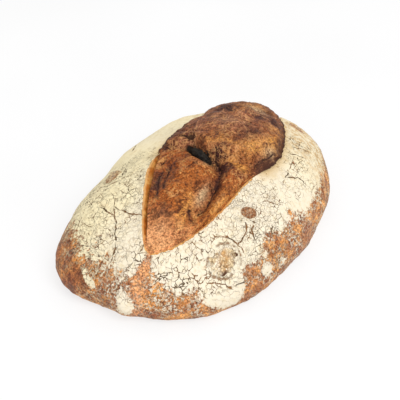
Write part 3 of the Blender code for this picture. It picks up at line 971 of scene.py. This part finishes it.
def nut_points(nut, way, axes):
    """Points of a walnut piece in the given directions, with how deep each lies in a furrow."""
    place, long, cross, up = axes
    waves = nut["waves"]
    x = way[..., 0]
    y = way[..., 1]
    wrinkle = np.sin(waves * x + 2.1 * np.sin(4.0 * y + 0.7)) * np.sin(5.0 * y + 1.3 * x + 0.4)
    lump = 0.05 * np.sin(2.3 * x + 1.1) * np.cos(2.9 * y - 0.4)
    top = ramp(way[..., 2], 0.45, 0.35)
    seed = 13.0 * nut["rise"] * MILLIMETRES
    winding = np.abs(grain(way, nut["fold"], 2, seed))
    furrow = smooth(1.0 - winding / 0.16)
    cut = nut["furrow"] * furrow * smooth(way[..., 2] + 0.4)
    size = 1.0 + lump + top * (0.085 * wrinkle - 0.09 * bump(y, 0.16)) - cut
    size = size + nut["lumps"] * grain(way, 0.16, 2, seed)
    local = way * np.array(nut["half"]) * size[..., None]
    return place + local @ np.stack([long, cross, up]), furrow


# Materials

# How much more light than a plain white needs falls on the loaf
LEVEL = 1.18
# The radius at which distances round the loaf are true in the slope's coordinates
SLOPE_REACH = 0.105


def tone(red, green, blue):
    """A colour given as it looks on screen, 0 to 255, made linear for the shader."""
    return tuple(((c / 255.0 + 0.055) / 1.055) ** 2.4 / LEVEL for c in (red, green, blue)) + (1.0,)


class Surface:
    """A node material; each method adds one step and returns its output."""

    def __init__(self, name):
        self.material = bpy.data.materials.new(name)
        self.material.use_nodes = True
        self.nodes = self.material.node_tree.nodes
        self.links = self.material.node_tree.links
        self.shader = self.nodes["Principled BSDF"]
        self.place = self.step("TexCoord", {}).outputs["Object"]
        self.x, self.y, self.z = self.step("SeparateXYZ", {0: self.place}).outputs

    def feed(self, node, inputs):
        """Links each named input of a node to an output, or sets it to a plain value."""
        for key, value in inputs.items():
            if isinstance(value, bpy.types.NodeSocket):
                self.links.new(value, node.inputs[key])
            else:
                node.inputs[key].default_value = value

    def step(self, kind, inputs, **settings):
        """A new node with its settings and inputs."""
        node = self.nodes.new("ShaderNode" + kind)
        for name, setting in settings.items():
            setattr(node, name, setting)
        self.feed(node, inputs)
        return node

    def field(self, name):
        """A field that the mesh carries."""
        return self.step("Attribute", {}, attribute_name=name).outputs["Fac"]

    def math(self, operation, a, b=0.0, clamp=False):
        """One step of arithmetic."""
        return self.step("Math", {0: a, 1: b}, operation=operation, use_clamp=clamp).outputs[0]

    def vector(self, operation, *values):
        """One step of vector arithmetic."""
        return self.step("VectorMath", dict(enumerate(values)), operation=operation).outputs[0]

    def add(self, *values):
        """A sum."""
        total = values[0]
        for value in values[1:]:
            total = self.math("ADD", total, value)
        return total

    def times(self, a, *others):
        """A product."""
        for other in others:
            a = self.math("MULTIPLY", a, other)
        return a

    def share(self, a, *others):
        """A product held between 0 and 1."""
        return self.math("MULTIPLY", self.times(a, *others), 1.0, True)

    def most(self, *values):
        """The largest of some values."""
        top = values[0]
        for value in values[1:]:
            top = self.math("MAXIMUM", top, value)
        return top

    def stretch(self, scale, warp=0.0, warp_scale=60.0, place=None):
        """Coordinates scaled along each axis and pushed about by noise."""
        place = place or self.place
        if warp:
            shift = self.step("TexNoise", {"Scale": warp_scale, "Detail": 2.0, "Vector": self.place})
            place = self.vector("MULTIPLY_ADD", shift.outputs["Color"], (warp,) * 3, place)
        return self.vector("MULTIPLY", place, scale)

    def slope(self):
        """Coordinates that run round the loaf and down its side."""
        reach = self.math("SQRT", self.add(self.times(self.x, self.x), self.times(self.y, self.y)))
        turn = self.math("ARCTAN2", self.times(self.y, -1.0), self.times(self.x, -1.0))
        inputs = {0: self.times(turn, SLOPE_REACH), 1: self.math("SUBTRACT", reach, self.z)}
        return self.step("CombineXYZ", inputs).outputs[0]

    def noise(self, scale, detail=2.0, rough=0.5, place=None):
        """Noise from about 0.25 to 0.75; scale is in humps a metre."""
        inputs = {"Scale": scale, "Detail": detail, "Roughness": rough, "Vector": place or self.place}
        return self.step("TexNoise", inputs).outputs["Fac"]

    def wander(self, amount, scale, detail=3.0, rough=0.5):
        """Noise about 0, which pushes a value up and down."""
        return self.times(self.add(self.noise(scale, detail, rough), -0.5), amount)

    def cells(self, scale, place=None):
        """Distance to the nearest border between irregular cells, as a share of a cell."""
        inputs = {"Scale": scale, "Vector": place or self.place}
        return self.step("TexVoronoi", inputs, feature="DISTANCE_TO_EDGE").outputs["Distance"]

    def span(self, value, low, high, to_low=0.0, to_high=1.0):
        """An even step: to_low at low, to_high at high."""
        inputs = dict(enumerate((value, low, high, to_low, to_high)))
        return self.step("MapRange", inputs, interpolation_type="SMOOTHSTEP").outputs[0]

    def mix(self, share, a, b):
        """A colour between two others."""
        return self.step("Mix", {"Factor": share, 6: a, 7: b}, data_type="RGBA").outputs[2]

    def shade(self, colour, factor):
        """A colour made darker or lighter."""
        return self.step("VectorMath", {0: colour, 3: factor}, operation="SCALE").outputs[0]

    def blend(self, share, a, b):
        """A plain value between two others."""
        return self.add(a, self.times(share, self.math("SUBTRACT", b, a)))

    def net(self, scale, place, thin, thick, patchy):
        """Borders between cells as lines whose width varies and which break off in places."""
        wide = self.span(self.noise(patchy, 2.0), 0.34, 0.66, thin, thick)
        lines = self.span(self.math("DIVIDE", self.cells(scale, place), wide), 0.4, 1.1, 1.0, 0.0)
        return self.times(lines, self.span(self.noise(patchy * 1.7, 1.0), 0.36, 0.50))

    def lines(self, thin, thick, wander):
        """The long marks that the mesh carries, as lines that wander a little."""
        push = self.wander(wander, 130.0)
        wide = self.span(self.noise(150.0, 2.0), 0.36, 0.64, thin, thick)
        kept = self.span(self.noise(170.0, 1.0), 0.30, 0.42)
        both = []
        for index in range(len(CRACKS)):
            off = self.math("ABSOLUTE", self.add(self.field("mark%d" % index), push))
            line = self.span(self.math("DIVIDE", off, wide), 0.5, 1.2, 1.0, 0.0)
            near = self.span(self.field("near%d" % index), 0.0016, 0.0036, 1.0, 0.0)
            both.append(self.times(line, near, kept))
        return self.most(*both)

    def finish(self, colour, roughness, height, depth, specular=0.3):
        """Links colour, roughness and a bump of the given depth in metres."""
        lift = self.step("Bump", {"Distance": depth, "Height": height})
        inputs = {"Base Color": colour, "Roughness": roughness, "Normal": lift.outputs["Normal"]}
        self.feed(self.shader, inputs)
        self.shader.inputs["Specular IOR Level"].default_value = specular
        return self.material


def flour_colour(s):
    """Flour: yellower on the left side, whiter in front and on the right, thin and tan in places."""
    left = s.times(s.span(s.y, -0.02, 0.06, 0.0, 0.75), s.span(s.x, -0.030, 0.020, 1.0, 0.45))
    yellow = s.add(left, s.times(s.noise(28.0), 0.5), s.span(s.x, 0.010, 0.070, 0.0, 0.30))
    flour = s.mix(s.span(yellow, 0.1, 1.0), tone(243, 231, 208), tone(251, 237, 196))
    flour = s.mix(s.span(s.noise(260.0, 3.0, 0.6), 0.44, 0.72, 0.0, 0.40), flour, tone(224, 200, 150))
    thin = s.span(s.noise(62.0, 3.0, 0.6), 0.60, 0.74, 0.0, 0.40)
    far = s.times(s.span(s.x, 0.045, 0.100), s.span(s.noise(190.0, 3.0, 0.7), 0.42, 0.58), 0.95)
    return s.mix(s.most(thin, far), flour, tone(218, 184, 134))


def near_end(s):
    """1 on the darkest part of the bare crust, at the left of the near end."""
    patchy = s.span(s.noise(60.0, 3.0, 0.6), 0.34, 0.54, 0.4, 1.0)
    return s.times(s.span(s.x, -0.108, -0.128), s.span(s.y, 0.010, 0.030), patchy)


def bare_colour(s):
    """Bare crust: golden browns, purple brown at the near end, orange in spots."""
    medium = s.noise(110.0, 4.0, 0.65)
    brown = s.mix(s.span(medium, 0.38, 0.60), tone(224, 160, 94), tone(152, 90, 46))
    purple = s.mix(s.span(medium, 0.40, 0.58), tone(166, 96, 54), tone(118, 64, 42))
    brown = s.mix(s.times(near_end(s), 0.9), brown, purple)
    brown = s.mix(s.times(s.field("seam"), 0.85), brown, tone(240, 170, 116))
    orange = s.most(s.span(s.noise(48.0, 2.0), 0.54, 0.68, 0.0, 0.6), s.field("orange"))
    brown = s.mix(s.share(orange, s.span(medium, 0.30, 0.62, 1.1, 0.55)), brown, tone(234, 156, 74))
    brown = s.mix(s.span(s.noise(36.0, 3.0), 0.50, 0.64, 0.0, 0.65), brown, tone(136, 82, 60))
    patchy = s.span(s.noise(70.0, 2.0), 0.36, 0.62, 0.15, 0.95)
    return s.mix(s.times(s.span(s.noise(330.0, 3.0, 0.7), 0.49, 0.64), patchy), brown, tone(96, 56, 38))


def skin_cracks(s):
    """Cracks: plates about 5 mm wide, finer ones, long plates where the flour is torn, and lone marks."""
    crackle = s.field("crackle")
    torn = s.field("torn")
    slope = s.slope()
    even = s.stretch((1.0, 0.88, 1.0), 0.010, 110.0, slope)
    dense = s.times(s.span(crackle, 0.12, 0.55), s.span(torn, 0.1, 0.5, 1.0, 0.20))
    coarse = s.times(s.net(180.0, even, 0.010, 0.050, 75.0), dense)
    dense = s.times(s.span(crackle, 0.45, 0.9), s.span(torn, 0.1, 0.5, 0.55, 0.05))
    fine = s.times(s.net(350.0, even, 0.010, 0.050, 120.0), dense)
    long = s.stretch((1.35, 0.58, 1.0), 0.009, 120.0, slope)
    rents = s.times(s.net(200.0, long, 0.018, 0.068, 100.0), s.span(torn, 0.15, 0.6))
    ring = s.span(s.add(s.field("ring"), s.wander(1.5, 280.0, 3.0, 0.7)), 0.65, 0.95)
    ring = s.times(ring, s.span(s.noise(90.0, 2.0), 0.44, 0.54), 0.85)
    return s.most(coarse, fine, rents, s.lines(0.00030, 0.00088, 0.0065), ring)


def flour_cover(s):
    """How much flour lies on the skin, and how far from the torn edge's bare rim a place is."""
    # The painted border, broken up at three sizes
    bare = s.field("bare")
    breakup = s.add(s.times(s.noise(95.0, 3.0, 0.6), 2.6), s.times(s.noise(400.0, 3.0, 0.7), 3.6), -3.1)
    cover = s.span(s.math("SUBTRACT", breakup, s.times(bare, 0.95)), -0.30, 0.22)
    specks = s.span(s.noise(430.0, 4.0, 0.75), 0.490, 0.560)
    drifts = s.span(s.noise(70.0, 3.0), 0.38, 0.58, 0.15, 1.0)
    sparse = s.times(s.span(bare, -0.5, 3.0, 0.98, 0.60), s.blend(near_end(s), 1.0, 0.15))
    sparse = s.times(sparse, s.blend(s.field("seam"), 1.0, 0.4))
    cover = s.most(cover, s.times(specks, drifts, sparse))
    rim = s.span(s.add(s.field("far"), s.times(s.noise(260.0, 3.0, 0.6), 0.0040)), 0.0022, 0.0032)
    return s.times(cover, rim), rim


def floured_skin():
    """Cream flour with fine dark crackle, thinning out to bare brown crust round the foot."""
    s = Surface("floured_skin")
    cracks = skin_cracks(s)
    cover, rim = flour_cover(s)
    grit = s.span(s.noise(650.0, 3.0, 0.75), 0.35, 0.65, 0.42, 1.66)
    colour = s.mix(cover, s.shade(bare_colour(s), grit), flour_colour(s))
    golden = s.mix(s.span(s.noise(150.0, 2.0), 0.38, 0.62), tone(208, 132, 54), tone(236, 180, 98))
    colour = s.mix(s.span(rim, 0.2, 0.9, 1.0, 0.0), colour, golden)
    crack_tone = s.mix(s.span(s.noise(90.0, 2.0), 0.40, 0.60), tone(88, 66, 40), tone(140, 98, 60))
    colour = s.mix(s.share(cracks, s.span(cover, 0.2, 0.8)), colour, crack_tone)
    # Painted shade, tan, on the skin under the lobe's burnt rim
    colour = s.mix(s.times(s.field("shade"), 0.75), colour, tone(228, 192, 130))
    height = s.add(s.times(cover, 0.5), s.times(cracks, -1.0), s.times(s.noise(480.0, 3.0, 0.7), 0.6))
    return s.finish(colour, s.span(cover, 0.0, 1.0, 0.60, 0.95), height, 0.0006, 0.22)


def crumb_tones(s, lobe, small, fleck, light):
    """Purple brown over the lobe, redder in front of it, orange brown on the mound, dusty near the tip."""
    colour = s.mix(lobe, tone(156, 82, 36), tone(132, 80, 56))
    orange = s.share(s.field("orange"), s.span(small, 0.34, 0.56, 0.5, 1.2))
    colour = s.mix(orange, colour, tone(160, 88, 36))
    pale = s.mix(lobe, tone(212, 152, 88), tone(198, 140, 100))
    colour = s.mix(s.span(light, 0.77, 0.90, 0.0, 0.85), colour, pale)
    # Golden brown crust, partly painted highlights on ridges and upper faces
    gold_and_highlight = s.share(s.field("gold_and_highlight"), s.span(small, 0.38, 0.56, 0.25, 1.1))
    colour = s.mix(gold_and_highlight, colour, tone(208, 144, 70))
    dull = s.share(s.field("dull"), s.span(small, 0.36, 0.54, 0.3, 1.0))
    colour = s.mix(dull, colour, tone(190, 160, 122))
    deep = s.times(s.span(light, 0.74, 0.62, 0.0, 0.85), s.span(s.field("dust"), 0.2, 0.9, 1.0, 0.35))
    colour = s.mix(deep, colour, tone(82, 40, 18))
    # Dark patches: purple-dark crust, with painted shade in the valley, folds, creases and the small hole
    dark = s.share(s.field("dark"), s.span(light, 0.86, 0.64, 0.35, 1.15))
    colour = s.mix(dark, colour, tone(70, 38, 32))
    dust = s.share(s.field("dust"), s.span(s.add(small, s.times(fleck, 0.6)), 0.66, 0.84, 0.30, 1.1))
    return s.mix(dust, colour, tone(228, 164, 112))


def wrinkled(s, colour, broad):
    """A colour with painted shade in thin winding wrinkles and along the long creases, and pale veins;
    also gives the wrinkles.
    """
    winding = s.noise(120.0, 3.0, 0.6, s.stretch((1.0, 0.5, 1.0), 0.012, 70.0))
    ridge = s.math("ABSOLUTE", s.add(winding, -0.5))
    fold = s.times(s.span(ridge, 0.0, 0.022, 1.0, 0.0), s.span(broad, 0.40, 0.58, 0.2, 1.0))
    # Painted shade in the grooves of the winding wrinkles
    colour = s.mix(s.times(fold, 0.45), colour, tone(70, 36, 22))
    veins = s.net(270.0, s.stretch((0.7, 1.0, 1.0), 0.012, 110.0), 0.03, 0.16, 60.0)
    colour = s.mix(s.times(veins, s.span(broad, 0.42, 0.60, 0.10, 0.55)), colour, tone(222, 164, 104))
    # Painted shade along the long creases, drawn as dark lines
    return s.mix(s.times(s.lines(0.0003, 0.0010, 0.0050), 0.9), colour, tone(44, 24, 18)), fold


def torn_strip(s, colour):
    """The torn strip: wide and orange on the left, a thin golden line along the lip on the right, with
    painted shade in the groove on the left.
    """
    strip = s.field("strip")
    across = s.field("across")
    left = s.field("left")
    wide = s.span(across, 0.80, 1.02, 1.0, 0.0)
    thin = s.span(across, 0.05, 0.35, 1.0, 0.0)
    tan = s.mix(s.span(s.noise(130.0, 3.0, 0.6), 0.36, 0.66), tone(192, 112, 38), tone(234, 172, 92))
    tan = s.mix(s.span(across, 0.0, 0.35, 0.6, 0.0), tan, tone(240, 200, 142))
    colour = s.mix(s.times(strip, s.blend(left, thin, wide)), colour, tan)
    # Painted shade in the groove between the strip and the crumb on the left
    groove = s.times(strip, left, s.span(across, 0.72, 0.95), s.span(across, 1.08, 1.16, 1.0, 0.0))
    return s.mix(s.times(groove, 0.9), colour, tone(74, 42, 24))


def burnt_tones(s, colour, lobe, small, light):
    """A colour burnt along the lobe's rim, and charred with painted crevice shade round the crown's walnut
    piece.
    """
    burnt = s.share(s.field("burnt"), s.span(small, 0.30, 0.55, 1.05, 0.85))
    colour = s.mix(burnt, colour, tone(60, 36, 26))
    near_rim = s.times(lobe, s.field("rimward"), s.span(light, 0.70, 0.90, 0.75, 0.15))
    colour = s.mix(near_rim, colour, tone(70, 40, 28))
    # Near black: charred crumb and painted shade in the crevice round the crown's walnut piece
    char_and_shade = s.add(s.field("char_and_shade"), s.wander(1.6, 300.0, 3.0, 0.7))
    return s.mix(s.span(char_and_shade, 0.25, 0.75), colour, tone(34, 26, 20))


def opened_crumb():
    """The bloom: baked crumb crust, caramel brown with dark and golden patches and a torn strip."""
    s = Surface("opened_crumb")
    bark = s.stretch((0.62, 1.0, 1.0), 0.014, 55.0)
    broad = s.noise(52.0, 3.0, 0.6, bark)
    small = s.noise(170.0, 4.0, 0.68, bark)
    fleck = s.noise(430.0, 3.0, 0.78)
    light = s.add(s.times(small, 0.75), s.times(fleck, 0.4), s.times(broad, 0.45), -0.05)
    lobe = s.field("lobe")
    grit = s.span(s.noise(620.0, 3.0, 0.78), 0.36, 0.64, 0.52, 1.58)
    colour = s.shade(crumb_tones(s, lobe, small, fleck, light), grit)
    colour, fold = wrinkled(s, colour, broad)
    colour = burnt_tones(s, torn_strip(s, colour), lobe, small, light)
    plates = s.times(s.cells(210.0, bark), 0.3)
    height = s.add(s.times(small, 0.9), s.times(fleck, 0.6), s.times(fold, -0.35), plates)
    return s.finish(colour, s.span(light, 0.6, 1.0, 0.52, 0.78), height, 0.0012, 0.12)


def kernel_surface(name, light, mid, deep, rough, dusty):
    """Walnut skin: light on the ridges, darker in the furrows, with fine veins and a dust of flour."""
    s = Surface(name)
    patches = s.noise(150.0, 3.0, 0.6)
    veins = s.cells(420.0, s.stretch((1.0, 1.0, 1.0), 0.004, 200.0))
    colour = s.mix(s.span(patches, 0.38, 0.64), tone(*mid), tone(*light))
    colour = s.mix(s.span(veins, 0.02, 0.12, 0.45, 0.0), colour, tone(*deep))
    furrow = s.share(s.field("furrow"), s.span(s.noise(240.0, 2.0), 0.35, 0.6, 0.45, 1.0))
    colour = s.mix(furrow, colour, tone(*deep))
    colour = s.mix(s.share(s.field("warm"), s.span(patches, 0.36, 0.56)), colour, tone(216, 164, 98))
    # Brown spots and painted shade, with a painted dark hole, on the walnut piece
    stain_and_shade = s.share(s.field("stain_and_shade"), s.span(patches, 0.30, 0.52, 0.6, 1.5))
    colour = s.mix(stain_and_shade, colour, tone(98, 62, 40))
    dust = s.add(s.times(s.noise(420.0, 3.0, 0.7), 0.7), s.times(s.noise(160.0, 2.0), 0.3))
    colour = s.mix(s.times(s.span(dust, 0.50, 0.56), dusty), colour, tone(240, 226, 196))
    height = s.add(s.times(patches, 0.5), s.span(veins, 0.0, 0.12), s.times(s.noise(700.0, 2.0), 0.4))
    return s.finish(colour, s.span(patches, 0.3, 0.7, rough, rough + 0.15), height, 0.0004, 0.25)


def floor_surface():
    """A plain pale floor that glows a little, like a light table."""
    s = Surface("pale_floor")
    colour = s.mix(s.span(s.noise(3.0), 0.3, 0.7), (0.20, 0.20, 0.203, 1.0), (0.22, 0.22, 0.223, 1.0))
    s.shader.inputs["Emission Color"].default_value = WHITE
    s.shader.inputs["Emission Strength"].default_value = FLOOR_GLOW
    return s.finish(colour, 0.9, s.noise(900.0, 2.0), 0.00002, 0.1)


# The scene

LOOK_AT = Vector((0.0, 0.0, 0.04))
CAMERA_TURN = math.radians(57.02)
CAMERA_TILT = math.radians(35.24)
CAMERA_DISTANCE = 1.0
SENSOR = 36.0
IMAGE = 400.0
# What the photograph shows: pixels to a metre at the loaf, and where the point looked at lies
PIXELS = 1112.16
LOOK_AT_PIXEL = (204.165, 191.539)
# The floor lies just under the loaf
FLOOR_HALF = 6.0
FLOOR_DOWN = 0.0001
FLOOR_GLOW = 0.74
WHITE = (1.0, 1.0, 1.0, 1.0)
SKY = (1.0, 0.995, 0.985, 1.0)
SKY_STRENGTH = 0.90
# The light's place from the point looked at: to the right, towards the camera and up
KEY_PLACE = (0.40, 0.85, 1.05)
KEY_SIZE = 0.8
KEY_POWER = 11.5
# Finish of each walnut piece: its name, light, middle and deep tone, roughness and dust of
# flour, then the slot
FINISHES = {
    "walnut_shoulder": (("dusted_walnut", (228, 202, 156), (176, 134, 92), (110, 70, 44), 0.6, 0.35),
                        "walnut_skin"),
    "walnut_side": (("floured_walnut", (254, 245, 224), (246, 222, 178), (166, 120, 74), 0.8, 0.0),
                    "floured_walnut"),
    "walnut_flank": (("toasted_walnut", (198, 144, 98), (160, 106, 66), (104, 64, 42), 0.55, 0.25),
                     "walnut_skin"),
    "walnut_crown": (("charred_walnut", (50, 42, 32), (26, 21, 16), (13, 11, 9), 0.5, 0.0),
                     "charred_walnut"),
}


def make_camera():
    """A camera at the photograph's angle, turned so that the loaf lies where the photograph has it."""
    c = math.cos(CAMERA_TURN)
    s = math.sin(CAMERA_TURN)
    level = Vector((s, c, 0.0))
    right = Vector((c, -s, 0.0))
    view = level * math.cos(CAMERA_TILT) - Vector((0.0, 0.0, math.sin(CAMERA_TILT)))
    up = level * math.sin(CAMERA_TILT) + Vector((0.0, 0.0, math.cos(CAMERA_TILT)))
    aim = LOOK_AT - right * ((LOOK_AT_PIXEL[0] - IMAGE / 2.0) / PIXELS)
    aim = aim + up * ((LOOK_AT_PIXEL[1] - IMAGE / 2.0) / PIXELS)
    data = bpy.data.cameras.new("camera")
    data.sensor_width = SENSOR
    data.lens = PIXELS * CAMERA_DISTANCE * SENSOR / IMAGE
    data.clip_start = 0.05
    data.clip_end = 50.0
    camera = bpy.data.objects.new("camera", data)
    turned = Matrix((right, up, -view)).transposed().to_4x4()
    camera.matrix_world = Matrix.Translation(aim - view * CAMERA_DISTANCE) @ turned
    bpy.context.scene.collection.objects.link(camera)
    bpy.context.scene.camera = camera
    return right, level


def make_light(name, place, aim, size, power):
    """A large soft area light."""
    data = bpy.data.lights.new(name, "AREA")
    data.shape = "DISK"
    data.size = size
    data.energy = power
    light = bpy.data.objects.new(name, data)
    light.location = place
    light.rotation_euler = (aim - place).to_track_quat("-Z", "Y").to_euler()
    bpy.context.scene.collection.objects.link(light)


def make_floor():
    """The plain pale floor."""
    data = bpy.data.meshes.new("floor")
    signs = ((-1, -1), (1, -1), (1, 1), (-1, 1))
    corners = [(x * FLOOR_HALF, y * FLOOR_HALF, -FLOOR_DOWN) for x, y in signs]
    data.from_pydata(corners, [], [(0, 1, 2, 3)])
    data.materials.append(floor_surface())
    floor = bpy.data.objects.new("floor", data)
    bpy.context.scene.collection.objects.link(floor)


def make_studio(right, level):
    """Even pale surroundings and one soft light from above, beside the camera."""
    world = bpy.data.worlds.new("studio")
    world.use_nodes = True
    sky = world.node_tree.nodes["Background"]
    sky.inputs["Color"].default_value = SKY
    sky.inputs["Strength"].default_value = SKY_STRENGTH
    bpy.context.scene.world = world
    beside, nearer, up = KEY_PLACE
    place = LOOK_AT + Vector((0.0, 0.0, up)) + right * beside - level * nearer
    make_light("key", place, LOOK_AT, KEY_SIZE, KEY_POWER)
    bpy.context.scene.view_settings.view_transform = "Standard"


def main():
    """Builds the loaf and its walnut pieces round the frame, then the studio."""
    loaf = make_loaf([opened_crumb(), floured_skin()])
    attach(loaf, "root")
    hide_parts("loaf")
    for name, (finish, slot) in FINISHES.items():
        kernel = make_nut(name, kernel_surface(*finish))
        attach(kernel, "root")
        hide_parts(name)
    right, level = make_camera()
    make_floor()
    make_studio(right, level)


main()
